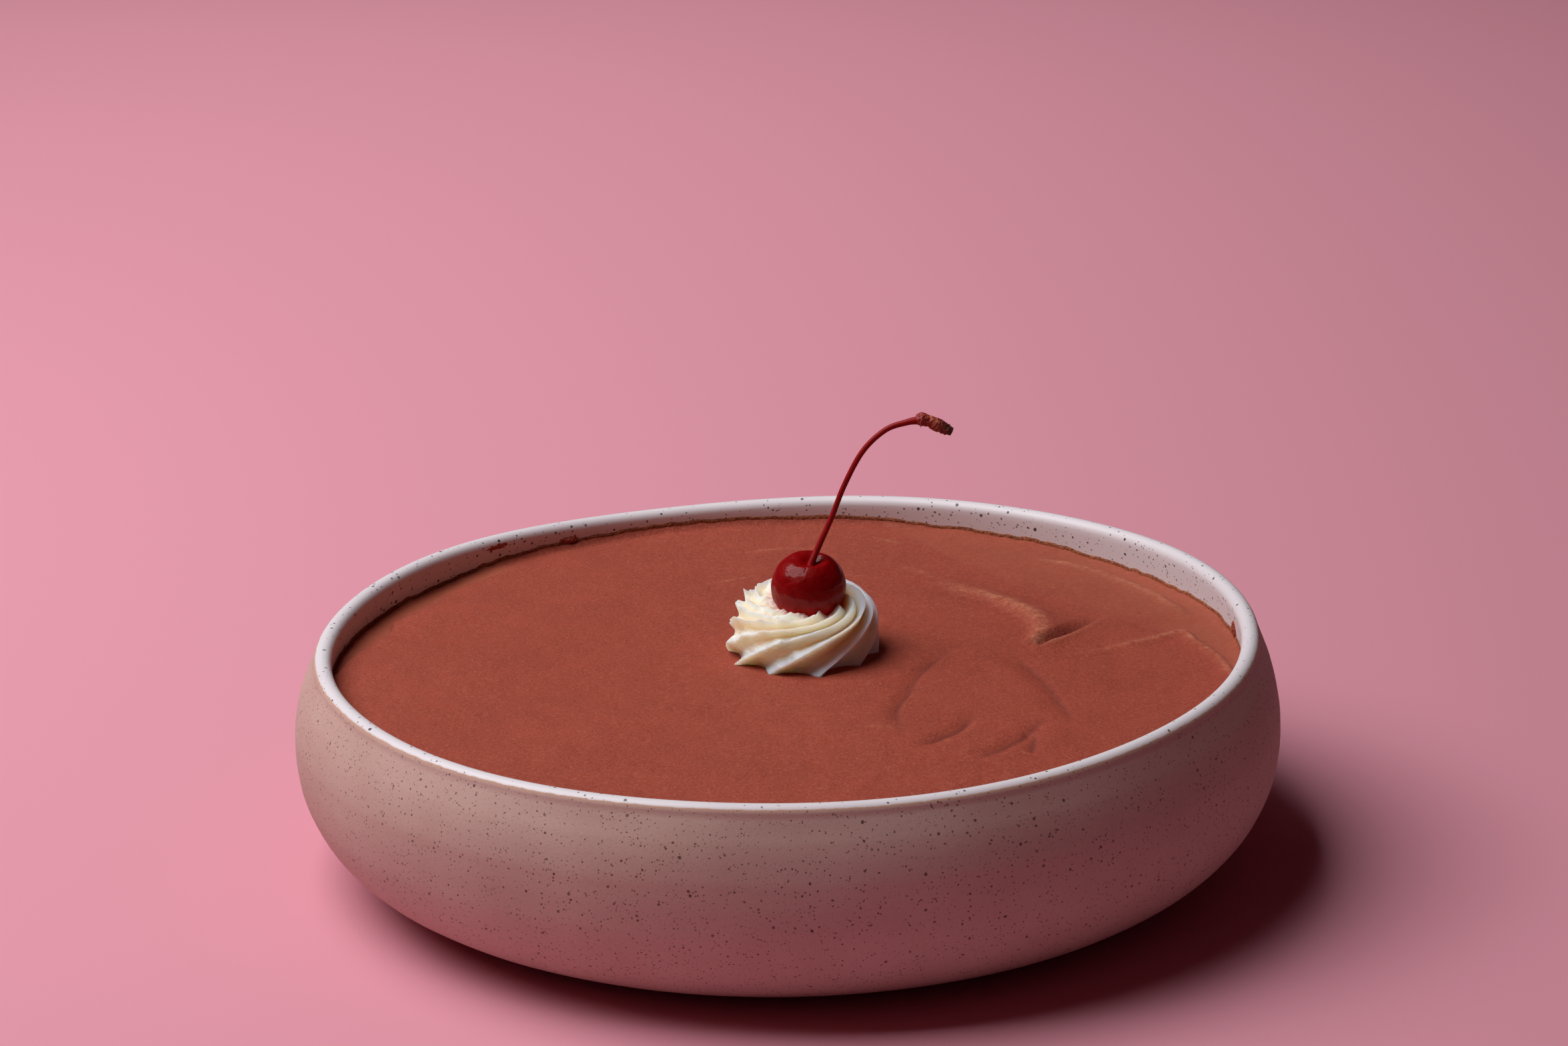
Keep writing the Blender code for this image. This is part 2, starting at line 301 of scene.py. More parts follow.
def make_bowl(material):
    outline, run = bowl_outline()
    azimuth = np.linspace(0.0, 2.0 * math.pi, BOWL_STEPS, endpoint=False)[None, :]
    radius, height = outline[:, :1], outline[:, 1:]
    # fine throwing rings, and the slow unevenness of a hand-smoothed wall
    outside = ease(run[:, None], 1.0, 6.0) * ease(height, 1.0 * MM, 8.0 * MM)
    rings = 0.05 * MM * rough(0.0, 0.0, height + 0.4 * MM * np.sin(azimuth), 2.6 * MM, 11)
    uneven = 0.22 * MM * lumps(np.cos(azimuth) * radius, np.sin(azimuth) * radius, height,
                               24.0 * MM, 12)
    radius = radius + outside * (rings + uneven - 0.2 * MM)
    height = lifted(azimuth, height + 0.0 * azimuth)
    rows = np.stack([radius * np.cos(azimuth), radius * np.sin(azimuth), height], axis=-1)
    mesh = woven("bowl_half_glazed", rows[:, ::-1])
    mark(mesh, "past_glaze", np.repeat(run, BOWL_STEPS))
    close_ends(mesh)
    return serve("bowl_half_glazed", mesh, material, "bowl")


def close_ends(mesh):
    """Caps the open rings of a mesh and turns its faces outwards."""
    shell = bmesh.new()
    shell.from_mesh(mesh)
    bmesh.ops.holes_fill(shell, edges=[edge for edge in shell.edges if edge.is_boundary])
    bmesh.ops.recalc_face_normals(shell, faces=shell.faces)
    shell.to_mesh(mesh)
    shell.free()
    mesh.shade_smooth()


# ================================================================ the mousse

MOUSSE_LEVEL = 50.8 * MM
MOUSSE_CELLS = 284                  # points across the top
MOUSSE_SKIRT = (3.0 * MM, 9.0 * MM)  # depths of its rings below the level, out of sight


def in_mm(*points):
    return [(x * MM, y * MM) for x, y in points]


# Marks of the spoon and spatula, as routes over the top.
LONG_CREST = in_mm((39, 63), (47, 51.5), (54, 44), (60, 35.5), (64, 28), (65.5, 18), (64, 9))
DENT = in_mm((63.5, 3.5), (68.5, 8.5), (74, 15.5), (79, 23), (83, 30))
EDGE_CREST = in_mm((66, 80), (76, 73), (85, 64), (91, 56), (96, 48), (100.5, 38.5), (103.5, 30),
                   (105.5, 20))
FLAP = in_mm((62, -8), (83, 1), (95, 7.5), (102, 12.5), (104, 6), (106.5, -1), (109, -9), (110.5, -20))
SPOON_LEFT = in_mm((46, 9), (39, -3), (35, -11.5), (32, -19.5), (29.5, -31), (27.2, -39), (26.5, -46),
                   (27.3, -54), (29, -62))
SPOON_FRONT = in_mm((29, -67), (34, -64), (37, -60.5), (40, -57.5), (42.7, -52.5), (45, -45))
SPOON_RIGHT = in_mm((55, 1), (57.5, -4), (61, -14), (64.2, -25), (66.2, -36.5), (67.8, -48), (69, -58))
SPOON_SECOND = in_mm((42, -77), (45, -74.5), (50.5, -69.5), (56.7, -60.5), (63, -47))
NICK = in_mm((59.2, -59), (58.2, -66), (57.3, -75))
LEFT_LEDGE = in_mm((-70, 82), (-80, 72), (-88.5, 62), (-93.5, 51), (-97.5, 43.5), (-103, 36),
                   (-103, 28.5), (-105.8, 20.5), (-109, 13), (-111.5, 6), (-114, -8))

# (route, width in mm) of the pale drags that the spatula left; their paleness is partly painted highlight
PALE_STREAKS = [
    (in_mm((17, -52), (22, -53.2), (28, -54.6)), 0.8),
    (in_mm((-24, 60.5), (-16, 63.5), (-7, 67.5)), 0.5),
    (in_mm((14, 66.8), (24, 65.3)), 0.6),
    (in_mm((24, 99.5), (29, 96.5), (34, 93)), 0.9),
    (in_mm((-14, 88), (0, 91), (12, 90)), 0.6),
    (in_mm((30, 75), (36, 69.5), (41, 62)), 1.4),
    (in_mm((54, -71), (58, -74)), 0.7),
]

# (route, depth, width to its left, width to its right), widths and depth in mm
SPOON_MARKS = [
    (SPOON_LEFT, 0.75, 0.7, 2.6),
    (SPOON_RIGHT, 0.65, 0.8, 3.0),
    (SPOON_FRONT, 0.8, 2.4, 1.8),
    (SPOON_SECOND, 0.7, 2.6, 2.4),
    (NICK, 0.7, 0.8, 2.4),
]

# Pinholes left by burst bubbles: (x, y, width), in mm.
PINHOLES = [(93.5, 30, 0.7), (80.4, 2.2, 0.6), (57, -59.7, 0.8), (27.3, 21.2, 0.6), (-62, 12, 0.5),
            (-34, -58, 0.6), (12, 78, 0.5), (-75, -38, 0.5)]


def mousse_relief(x, y):
    """Height of the top above its level, from the spooning and smoothing."""
    height = 0.004 * x + 0.35 * MM * rough(x, y, 0.0, 46.0 * MM, 21, 2)
    height += 0.13 * MM * rough(x, y, 0.0, 13.0 * MM, 22, 2)
    height += 0.05 * MM * rough(x, y / 1.6, 0.0, 4.5 * MM, 24, 2)

    off, along = beside(x, y, LONG_CREST)
    strength = ease(along, 0.0, 0.6)
    height += strength * 1.5 * MM * np.where(off < 0, hill(off, 6.0 * MM), hill(off, 2.0 * MM))

    off, along = beside(x, y, DENT)
    depth = ease(along, 0.0, 0.12) * (1.0 - ease(along, 0.35, 1.0))
    slope = np.where(off < 0, 1.0 - ease(-off, 0.0, 5.0 * MM), 1.0 - ease(off, 0.0, 1.4 * MM))
    height -= 2.9 * MM * depth * slope
    lip = hill(off - 2.2 * MM, 1.6 * MM) * depth
    height += 0.35 * MM * lip

    off, along = beside(x, y, EDGE_CREST)
    strength = fading(along, 0.25, 0.3)
    height += strength * 0.95 * MM * np.where(off > 0, hill(off, 4.0 * MM), hill(off, 1.3 * MM))
    height -= strength * 0.7 * MM * ease(-off, 0.0, 3.0 * MM)

    off, along = beside(x, y, FLAP)
    strength = ease(along, 0.05, 0.5)
    height += strength * 0.6 * MM * hill(off, 2.2 * MM)
    film = ease(-off, 0.0, 2.0 * MM) * (1.0 - ease(-off, 9.0 * MM, 16.0 * MM))
    height -= ease(along, 0.45, 0.6) * 0.8 * MM * film

    for route, deep, near, far in SPOON_MARKS:
        off, along = beside(x, y, route)
        width = np.where(off > 0, far, near) * MM
        height -= fading(along, 0.3, 0.3) * deep * MM * hill(off, width)

    off, along = beside(x, y, LEFT_LEDGE)
    strength = fading(along, 0.3, 0.05)
    height -= strength * 1.25 * MM * ease(off, 0.0, 0.9 * MM) * (1.0 - 0.5 * ease(off, 5 * MM, 12 * MM))
    return height


def mousse_surface(x, y):
    azimuth = np.arctan2(y, x)
    radius = np.hypot(x, y)
    height = MOUSSE_LEVEL + mousse_relief(x, y)
    # whipped surface: low velvet with a grain that runs from side to side
    height += 0.05 * MM * rough(x / 1.8, y, 0.0, 1.5 * MM, 31, 3)
    for hole_x, hole_y, wide in PINHOLES:
        height -= 0.8 * MM * hill(np.hypot(x - hole_x * MM, y - hole_y * MM), wide * MM)
    # the edge: a thin ragged film climbs the wall, more of it on the left of the back
    reach = wall_radius(azimuth, MOUSSE_LEVEL)
    back_shelf = ease(np.degrees(azimuth), 66.0, 76.0) * (1.0 - ease(np.degrees(azimuth), 118.0, 140.0))
    climb = 0.35 + 1.0 * back_shelf + 0.25 * lumps(azimuth * 40.0, 0.0, 0.0, 1.0, 41)
    height += climb * MM * ease(radius, reach - 2.6 * MM, reach)
    return height


def make_mousse(material):
    span = np.linspace(-1.0, 1.0, MOUSSE_CELLS)
    u, v = np.meshgrid(span, span)
    # squares bent to a disc, so that the points lie evenly
    with np.errstate(divide="ignore", invalid="ignore"):
        wide = np.abs(u) >= np.abs(v)
        radius = np.where(wide, u, v)
        azimuth = np.where(wide, 0.25 * math.pi * np.nan_to_num(v / u),
                           0.5 * math.pi - 0.25 * math.pi * np.nan_to_num(u / v))
    azimuth = np.where(radius < 0, azimuth + math.pi, azimuth)
    radius = np.abs(radius)
    reach = wall_radius(azimuth, MOUSSE_LEVEL) + SINK
    x = radius * reach * np.cos(azimuth)
    y = radius * reach * np.sin(azimuth)
    top = np.stack([x, y, mousse_surface(x, y)], axis=-1)

    index = numbered(top)
    quads = np.stack([index[:-1, :-1], index[:-1, 1:], index[1:, 1:], index[1:, :-1]], -1)
    edge = border(index)
    points = top.reshape(-1, 3)
    faces = quads.reshape(-1, 4).tolist()
    ring = edge
    for depth in MOUSSE_SKIRT:
        side = top.reshape(-1, 3)[edge].copy()
        azimuth_edge = np.arctan2(side[:, 1], side[:, 0])
        level = MOUSSE_LEVEL - depth
        reach_edge = wall_radius(azimuth_edge, level) + SINK
        side[:, 0] = reach_edge * np.cos(azimuth_edge)
        side[:, 1] = reach_edge * np.sin(azimuth_edge)
        side[:, 2] = level
        lower = np.arange(len(points), len(points) + len(edge))
        points = np.vstack([points, side])
        faces += np.stack([np.roll(ring, -1), ring, lower, np.roll(lower, -1)], -1).tolist()
        ring = lower
    middle = len(points)
    points = np.vstack([points, [[0.0, 0.0, MOUSSE_LEVEL - MOUSSE_SKIRT[-1]]]])
    faces += [(b, a, middle) for a, b in zip(ring.tolist(), np.roll(ring, -1).tolist())]
    mesh = bpy.data.meshes.new("mousse_top")
    mesh.from_pydata(points.tolist(), [], faces)
    mesh.shade_smooth()

    edge_off, edge_along = beside(x, y, EDGE_CREST)
    flap_off, flap_along = beside(x, y, FLAP)
    ledge_off, ledge_along = beside(x, y, LEFT_LEDGE)
    scraped = fading(edge_along, 0.1, 0.1) * ease(-edge_off, 1 * MM, 3 * MM)
    scraped = np.maximum(scraped, ease(flap_along, 0.5, 0.6) * ease(-flap_off, 0.5 * MM, 2 * MM))
    by_ledge = fading(ledge_along, 0.1, 0.05) * ease(ledge_off, 0.2 * MM, 1.5 * MM)
    scraped = np.maximum(scraped, by_ledge)
    mark(mesh, "scraped", scraped)
    # stiff crests are painted paler, partly as pale crumbs and partly as painted highlight where they face
    # the light; creases get painted shade, a darker line
    broken = 0.75 + 0.45 * rough(x, y, 0.0, 2.2 * MM, 45)
    long_off, long_along = beside(x, y, LONG_CREST)
    crest = ease(long_along, 0.0, 0.3) * hill(long_off + 0.8 * MM, 2.2 * MM)
    crest = np.maximum(crest, 0.8 * fading(edge_along, 0.2, 0.3) * hill(edge_off - 0.6 * MM, 1.6 * MM))
    crest = np.maximum(crest, 0.8 * ease(flap_along, 0.1, 0.45) * hill(flap_off, 1.3 * MM))
    dent_off, dent_along = beside(x, y, DENT)
    crest = np.maximum(crest, 0.9 * fading(dent_along, 0.15, 0.6) * hill(dent_off - 1.6 * MM, 0.9 * MM))
    for streak, wide in PALE_STREAKS:
        off, along = beside(x, y, streak)
        crest = np.maximum(crest, 0.6 * fading(along, 0.4, 0.4) * hill(off, wide * MM))
    mark(mesh, "crest", crest * broken)
    # painted shade: spoon marks, the ledge and the dent's pocket are painted darker where shade falls in them
    crease_shade = 0.0
    for route, deep, near, far in SPOON_MARKS:
        off, along = beside(x, y, route)
        crease_shade = np.maximum(crease_shade, deep * fading(along, 0.3, 0.3) * hill(off, 0.9 * MM))
    by_ledge = fading(ledge_along, 0.2, 0.05) * hill(ledge_off - 0.5 * MM, 0.8 * MM)
    crease_shade = np.maximum(crease_shade, 0.6 * by_ledge)
    crease_shade = np.maximum(crease_shade, 0.8 * fading(dent_along, 0.1, 0.5) * hill(dent_off + 0.5 * MM, 1.8 * MM))
    mark(mesh, "crease_shade", crease_shade)
    return serve("mousse_top", mesh, material, "mousse")


# ================================================================ the rosette

CREAM_CENTRE = (4.8 * MM, 3.5 * MM)
CREAM_RING_RADIUS = 10.3 * MM
CREAM_STRAND = 9.0 * MM
CREAM_HEIGHT = 13.9 * MM
CREAM_TILT = 0.12
CREAM_RIDGES = 10
CREAM_FIRST_RIDGE = math.radians(28)
CREAM_RIDGE_DEPTH = 2.7 * MM
CREAM_TOP_TURN = math.radians(140)
CREAM_COLUMNS = 600
CREAM_ROWS = 140

CHERRY_CENTRE = np.array((6.0, 3.5, 68.0)) * MM
CHERRY_RADIUS = 9.35 * MM
CHERRY_HALF_HEIGHT = 8.7 * MM
CHERRY_LEAN = math.radians(6)
CHERRY_NOD = math.radians(14)       # towards the front


def make_cream(material):
    start = np.linspace(0.0, 2.0 * math.pi, CREAM_COLUMNS, endpoint=False)[None, :]
    turned = np.linspace(-0.12, CREAM_TOP_TURN, CREAM_ROWS)[:, None]
    climb = np.maximum(turned, 0.0) / CREAM_TOP_TURN
    # the nozzle turned as it rose: steady up the flank, faster over the shoulder
    azimuth = start + 1.25 * np.maximum(turned, 0.0) + math.radians(40) * ease(turned, 0.6, 1.65)
    # each ridge has its own place, depth and edge
    ridge = (start - CREAM_FIRST_RIDGE) * CREAM_RIDGES / (2.0 * math.pi)
    number = np.round(ridge) % CREAM_RIDGES
    ridge = ridge + 0.10 * lumps(3.1 * np.cos(start), 3.1 * np.sin(start), 2.0 * climb, 1.0, 51)
    across = np.abs(np.sin(math.pi * ridge))
    crest = 1.0 - np.sqrt(across ** 2 + 0.008)
    own_depth = 1.0 + 0.30 * lumps(number * 3.7, 2.4 * climb, 0.0, 1.0, 52)
    # torn on the front and left, and tucked in at its foot on the right
    torn = ease(np.cos(azimuth - math.radians(205)), -0.2, 0.7)
    sheltered = ease(np.cos(azimuth - math.radians(10)), -0.3, 0.8)
    own_depth = own_depth * (1.0 - 0.32 * torn + 0.2 * sheltered)
    push = CREAM_RIDGE_DEPTH * own_depth * (crest - 0.45) * (1.0 - 0.85 * ease(climb, 0.45, 1.0))
    # pointed feet where the ridges were drawn off the nozzle, tucked in between them
    foot = 1.0 - ease(turned, 0.0, 0.42)
    push = push + foot * MM * (2.2 * crest ** 2 - 1.7) * (1.0 - 0.5 * sheltered)
    push = push - 2.4 * MM * sheltered * (1.0 - ease(turned, 0.0, 0.9))
    # stiff cream tears along its edges
    spot = np.stack(np.broadcast_arrays(np.cos(azimuth) * 18, np.sin(azimuth) * 18, turned * 12), -1)
    x, y, z = spot[..., 0], spot[..., 1], spot[..., 2]
    push = push + 0.8 * MM * rough(x, y, z * 1.4, 3.4, 53) * (0.35 + 0.8 * crest) * torn
    push = push + 0.25 * MM * rough(x, y, z, 1.0, 57, 2) * (0.25 + 0.75 * torn)
    cosine, sine = np.cos(turned), np.sin(turned)
    full = np.sign(cosine) * np.abs(cosine) ** 0.72
    radius = CREAM_RING_RADIUS + (CREAM_STRAND + push) * full
    height = (CREAM_HEIGHT + push) * np.sign(sine) * np.abs(sine) ** 0.95
    height = height * (1.0 + CREAM_TILT * np.sin(azimuth) * ease(climb, 0.0, 0.5))
    rows = np.stack([CREAM_CENTRE[0] + radius * np.cos(azimuth),
                     CREAM_CENTRE[1] + radius * np.sin(azimuth),
                     MOUSSE_LEVEL + 0.4 * MM + height], axis=-1)
    mesh = woven("cream_swirl", rows, capped=True)
    # painted shade: the hollows between the ridges are marked for a warmer, darker colour
    mark(mesh, "hollow_shade", np.clip(1.35 * (0.62 - crest), 0.0, 1.0) * ease(turned, 0.1, 0.5))
    cherry_size = (CHERRY_RADIUS, CHERRY_RADIUS, CHERRY_HALF_HEIGHT)
    from_cherry = np.linalg.norm((rows - CHERRY_CENTRE) / cherry_size, axis=-1)
    mark(mesh, "by_cherry", (from_cherry - 1.0) * CHERRY_RADIUS / MM)
    return serve("cream_swirl", mesh, material, "cream_rosette")


# ================================================================ the cherry and its stem

def make_cherry(material):
    columns, rows = 160, 110
    around = np.linspace(0.0, 2.0 * math.pi, columns, endpoint=False)[None, :]
    up = np.linspace(0.5 * math.pi - 0.01, -0.5 * math.pi + 0.01, rows)[:, None]
    radius = CHERRY_RADIUS * np.cos(up) ** 0.88
    height = CHERRY_HALF_HEIGHT * np.sign(up) * np.abs(np.sin(up)) ** 0.9 + 0.0 * around
    top = ease(up, 0.0, 0.5)
    height = height - top * (2.1 * MM * hill(radius, 3.0 * MM) - 0.3 * MM)
    # the flesh stands up in a soft ring round the dimple, most on one side
    ring = hill(radius - 4.0 * MM, 1.3 * MM) * (0.45 + 0.55 * np.cos(around - math.radians(-20)))
    height = height + top * 0.45 * MM * ring
    swell = 1.0 + 0.016 * np.cos(2 * around + 0.6)
    swell = swell + 0.012 * lumps(np.cos(around) * 2, np.sin(around) * 2, up, 1.0, 61)
    radius = radius * swell
    points = np.stack([radius * np.cos(around), radius * np.sin(around), height], axis=-1)
    points += 0.10 * MM * lumps(*(points[..., i] for i in range(3)), 2.6 * MM, 62)[..., None]
    mesh = woven("cherry_fruit", points[::-1], capped=True)
    mesh.transform(Euler((CHERRY_NOD, CHERRY_LEAN, 0.0)).to_matrix().to_4x4())
    for vertex in mesh.vertices:
        vertex.co += Vector(CHERRY_CENTRE)
    return serve("cherry_fruit", mesh, material, "cherry")


STEM_RADIUS = 0.72 * MM
# (x, y, z, thickness compared with STEM_RADIUS) along the stem, and along its woody knob.
STEM_ROUTE = [
    (6.6, 1.5, 74.4, 1.5), (7.1, 1.8, 75.9, 1.25), (8.6, 2.6, 79.1, 1.1), (12.0, 3.2, 86.5, 1.0),
    (15.4, 3.5, 95.0, 0.98), (20.1, 3.5, 103.7, 1.0), (25.8, 3.5, 109.1, 1.0), (31.2, 3.5, 111.0, 1.12),
    (34.1, 3.5, 111.5, 1.5),
]
KNOB_ROUTE = [
    (33.7, 3.5, 111.6, 1.7), (34.9, 3.5, 111.8, 2.15), (36.6, 3.5, 111.2, 1.95),
    (39.0, 3.5, 110.1, 2.2), (41.0, 3.5, 109.1, 1.95), (42.5, 3.5, 108.4, 1.75),
]


def tube_along(route, sides, steps, roughness=None):
    """Rings of points along a route in the stem's upright plane."""
    line = curve_through(route, steps)
    centre = line[:, :3] * MM
    ahead = np.gradient(centre, axis=0)
    ahead /= np.linalg.norm(ahead, axis=1, keepdims=True)
    side = np.array((0.0, 1.0, 0.0))
    over = np.cross(side, ahead)
    over /= np.linalg.norm(over, axis=1, keepdims=True)
    turn = np.linspace(0.0, 2.0 * math.pi, sides, endpoint=False)
    radius = (line[:, 3] * STEM_RADIUS)[:, None] * np.ones((1, sides))
    if roughness is not None:
        radius = roughness(radius, np.linspace(0.0, 1.0, len(line))[:, None], turn[None, :])
    outward = np.cos(turn)[None, :, None] * side + np.sin(turn)[None, :, None] * over[:, None]
    return centre[:, None] + radius[..., None] * outward


def wrinkled(radius, along, turn):
    """Crossing wrinkles, a heel on the knob's upper side and a cut end."""
    x, y, z = along * 12.5 + 0.5 * np.sin(turn + 1.0), np.cos(turn) * 1.4, np.sin(turn) * 1.4
    folds = 1.0 - 2.2 * np.abs(rough(x, y, z, 1.1, 71, 2))
    heel = hill(along - 0.13, 0.10) * (0.5 + 0.5 * np.sin(turn)) ** 2
    step = ease(along, 0.85, 0.88)
    return radius * (1.0 + 0.12 * folds * ease(along, 0.05, 0.2) + 0.42 * heel - 0.2 * step)


def make_stem(stem_skin, knob_bark):
    stem = woven("cherry_stalk", tube_along(STEM_ROUTE, 20, 16), capped=True)
    close_ends(stem)
    serve("cherry_stalk", stem, stem_skin, "cherry_stem")
    knob = woven("cherry_stalk_knob", tube_along(KNOB_ROUTE, 56, 22, wrinkled), capped=True)
    close_ends(knob)
    serve("cherry_stalk_knob", knob, knob_bark)


# ================================================================ mousse left on the wall

SMEAR_ROOT = 0.6 * MM               # how far a smear's back lies inside the wall


def wall_smear(name, azimuth, height, half_wide, half_tall, thick, seed, material):
    """A lump or smear on the inner wall, sinking into it at its edges."""
    u = np.linspace(-1.0, 1.0, 48)[None, :]
    v = np.linspace(-1.0, 1.0, 30)[:, None]
    edge = np.hypot(u, v) + 0.16 * rough(u * 2.0, v * 2.0, 0.0, 1.0, seed, 2)
    body = thick * np.clip(1.0 - edge ** 2, -0.5, 1.0) - 0.1 * MM
    body = body + 0.25 * thick * rough(u * 6.0, v * 4.0, 0.0, 1.0, seed + 5) * (edge < 1.0)
    angle = math.radians(azimuth) + u * half_wide / BELLY_RADIUS + 0.0 * v
    level = height + v * half_tall + 0.0 * u
    radius = wall_radius(angle, level)
    front = radius - np.maximum(body, -0.4 * MM)
    rows = np.stack([front * np.cos(angle), front * np.sin(angle), level], -1)
    inside_wall = radius + SMEAR_ROOT
    root = np.stack([inside_wall * np.cos(angle), inside_wall * np.sin(angle), level], -1)
    index = numbered(rows)
    faces = np.stack([index[:-1, :-1], index[1:, :-1], index[1:, 1:], index[:-1, 1:]], -1)
    faces = faces.reshape(-1, 4).tolist()
    outline = border(index)
    behind = np.arange(index.size, index.size + len(outline))
    faces += np.stack([outline, np.roll(outline, -1), np.roll(behind, -1), behind], -1).tolist()
    faces.append(behind[::-1].tolist())
    mesh = bpy.data.meshes.new(name)
    mesh.from_pydata(np.vstack([rows.reshape(-1, 3), border(root)]).tolist(), [], faces)
    close_ends(mesh)
    return serve(name, mesh, material)


def make_dried_ring(material):
    """The tide mark: a thin crust of dried mousse along the wall at the mousse's edge."""
    azimuth = np.linspace(0.0, 2.0 * math.pi, 1500, endpoint=False)[:, None]
    turn = np.linspace(0.0, 2.0 * math.pi, 10, endpoint=False)[None, :]
    reach = wall_radius(azimuth, MOUSSE_LEVEL)
    x, y = reach * np.cos(azimuth), reach * np.sin(azimuth)
    level = mousse_surface(0.999 * x, 0.999 * y)
    tall = (0.72 + 0.10 * rough(x, y, 0.0, 2.8 * MM, 81) + 0.22 * lumps(azimuth * 8, 0, 0, 1.0, 82)) * MM
    thick = (0.34 + 0.10 * rough(x, y, 0.0, 1.1 * MM, 83)) * MM
    crumbly = 1.0 + 0.2 * rough(x, y, np.sin(turn) * MM, 0.7 * MM, 84)
    radius = wall_radius(azimuth, level) - thick * np.cos(turn) * crumbly
    height = level + 0.15 * MM + tall * np.sin(turn) + 0.0 * radius
    rows = np.stack([radius * np.cos(azimuth), radius * np.sin(azimuth), height], -1)
    mesh = woven("dried_tide_mark", np.concatenate([rows, rows[:1]]))
    shell = bmesh.new()
    shell.from_mesh(mesh)
    bmesh.ops.remove_doubles(shell, verts=shell.verts, dist=0.001 * MM)
    bmesh.ops.recalc_face_normals(shell, faces=shell.faces)
    shell.to_mesh(mesh)
    shell.free()
    return serve("dried_tide_mark", mesh, material)


# ================================================================ finishes

def metric_coordinates(tree):
    """The object's own coordinates in millimetres."""
    place = add(tree, "TexCoord").outputs["Object"]
    return add(tree, "VectorMath", {0: place, "Scale": 1.0 / MM}, operation="SCALE").outputs[0]


def half_glazed_stoneware():
    """Speckled stoneware, bare and matt outside, under a white satin glaze inside and on the lip.

    Iron in the clay burns through as brown specks, small in the bare clay and larger,
    with softened edges, in the glaze.
    """
    material, tree = new_material("half_glazed_stoneware")
    place = metric_coordinates(tree)
    past = add(tree, "Attribute", attribute_name="past_glaze").outputs["Fac"]
    wander = add(tree, "TexNoise", {"Vector": place, "Scale": 1 / 2.4, "Detail": 3.0}).outputs["Fac"]
    wander = add(tree, "MapRange", {"Value": wander, 1: 0.0, 2: 1.0, 3: -0.35, 4: 0.35}).outputs[0]
    line = add(tree, "Math", {0: past, 1: wander}, operation="ADD").outputs[0]
    bare = add(tree, "MapRange", {"Value": line, 1: -0.06, 2: 0.12}).outputs[0]

    cluster = add(tree, "TexNoise", {"Vector": place, "Scale": 1 / 7.0, "Detail": 2.0}).outputs["Fac"]
    cluster = add(tree, "MapRange", {"Value": cluster, 1: 0.3, 2: 0.7, 3: 0.55, 4: 1.45}).outputs[0]
    # the lip carries fewer specks than the wall below it
    sparse = add(tree, "MapRange", {"Value": past, 1: -6.6, 2: -4.6, 3: 1.15, 4: 0.45}).outputs[0]
    sparse = add(tree, "Math", {0: sparse, 1: bare}, operation="MAXIMUM").outputs[0]
    cluster = add(tree, "Math", {0: cluster, 1: sparse}, operation="MULTIPLY").outputs[0]

    def specks(size, largest, share, seed):
        """Iron specks: one to each cell, size apart in mm, in about this share of the cells."""
        apart = (seed, seed * 1.7, seed * 0.6)
        moved = add(tree, "VectorMath", {0: place, 1: apart}, operation="ADD").outputs[0]
        bend = add(tree, "TexNoise", {"Vector": moved, "Scale": 1 / 0.5, "Detail": 2.0}).outputs["Color"]
        bent = add(tree, "MixRGB", {0: 0.42, 1: moved, 2: bend}, blend_type="ADD").outputs[0]
        cell = add(tree, "TexVoronoi", {"Vector": bent, "Scale": 1.0 / size, "Randomness": 1.0})
        pick = add(tree, "SeparateColor", {0: cell.outputs["Color"]})
        wanted = add(tree, "Math", {0: cluster, 1: share}, operation="MULTIPLY").outputs[0]
        chosen = add(tree, "Math", {0: pick.outputs[0], 1: wanted}, operation="LESS_THAN").outputs[0]
        squared = add(tree, "Math", {0: pick.outputs[1], 1: 2.0}, operation="POWER").outputs[0]
        radius = add(tree, "MapRange", {"Value": squared, 1: 0.0, 2: 1.0,
                                        3: 0.35 * largest / size, 4: largest / size}).outputs[0]
        wide = add(tree, "Math", {0: radius, 1: cell.outputs["Distance"]}, operation="SUBTRACT").outputs[0]
        soft = add(tree, "MapRange", {"Value": wide, 1: -0.05 / size, 2: 0.06 / size}).outputs[0]
        depth = add(tree, "MapRange", {"Value": pick.outputs[2], 1: 0.0, 2: 1.0,
                                       3: 0.75, 4: 1.0}).outputs[0]
        shown = add(tree, "Math", {0: soft, 1: chosen}, operation="MULTIPLY").outputs[0]
        return add(tree, "Math", {0: shown, 1: depth}, operation="MULTIPLY").outputs[0]

    def either(first, second):
        return add(tree, "Math", {0: first, 1: second}, operation="MAXIMUM").outputs[0]

    clay_specks = either(specks(0.8, 0.25, 0.75, 3.0), specks(1.7, 0.42, 0.5, 11.0))
    glaze_specks = either(specks(1.1, 0.30, 0.70, 21.0), specks(1.9, 0.56, 0.70, 31.0))

    cloud = add(tree, "TexNoise", {"Vector": place, "Scale": 1 / 22.0, "Detail": 3.0}).outputs["Fac"]
    clay = add(tree, "MixRGB", {0: cloud, 1: linear("#BE9A90"), 2: linear("#CFB1A8")}).outputs[0]
    # the clay's grain is about 0.1 mm, too fine to show, so it is drawn at 0.5 mm
    grit = add(tree, "TexNoise", {"Vector": place, "Scale": 1 / 0.5, "Detail": 2.0}).outputs["Fac"]
    grit = add(tree, "MapRange", {"Value": grit, 1: 0.35, 2: 0.7, 3: 0.0, 4: 0.22}).outputs[0]
    clay = add(tree, "MixRGB", {0: grit, 1: clay, 2: linear("#A98573")}).outputs[0]
    clay_faint = add(tree, "Math", {0: clay_specks, 1: 0.88}, operation="MULTIPLY").outputs[0]
    clay = add(tree, "MixRGB", {0: clay_faint, 1: clay, 2: linear("#4E2C26")}).outputs[0]

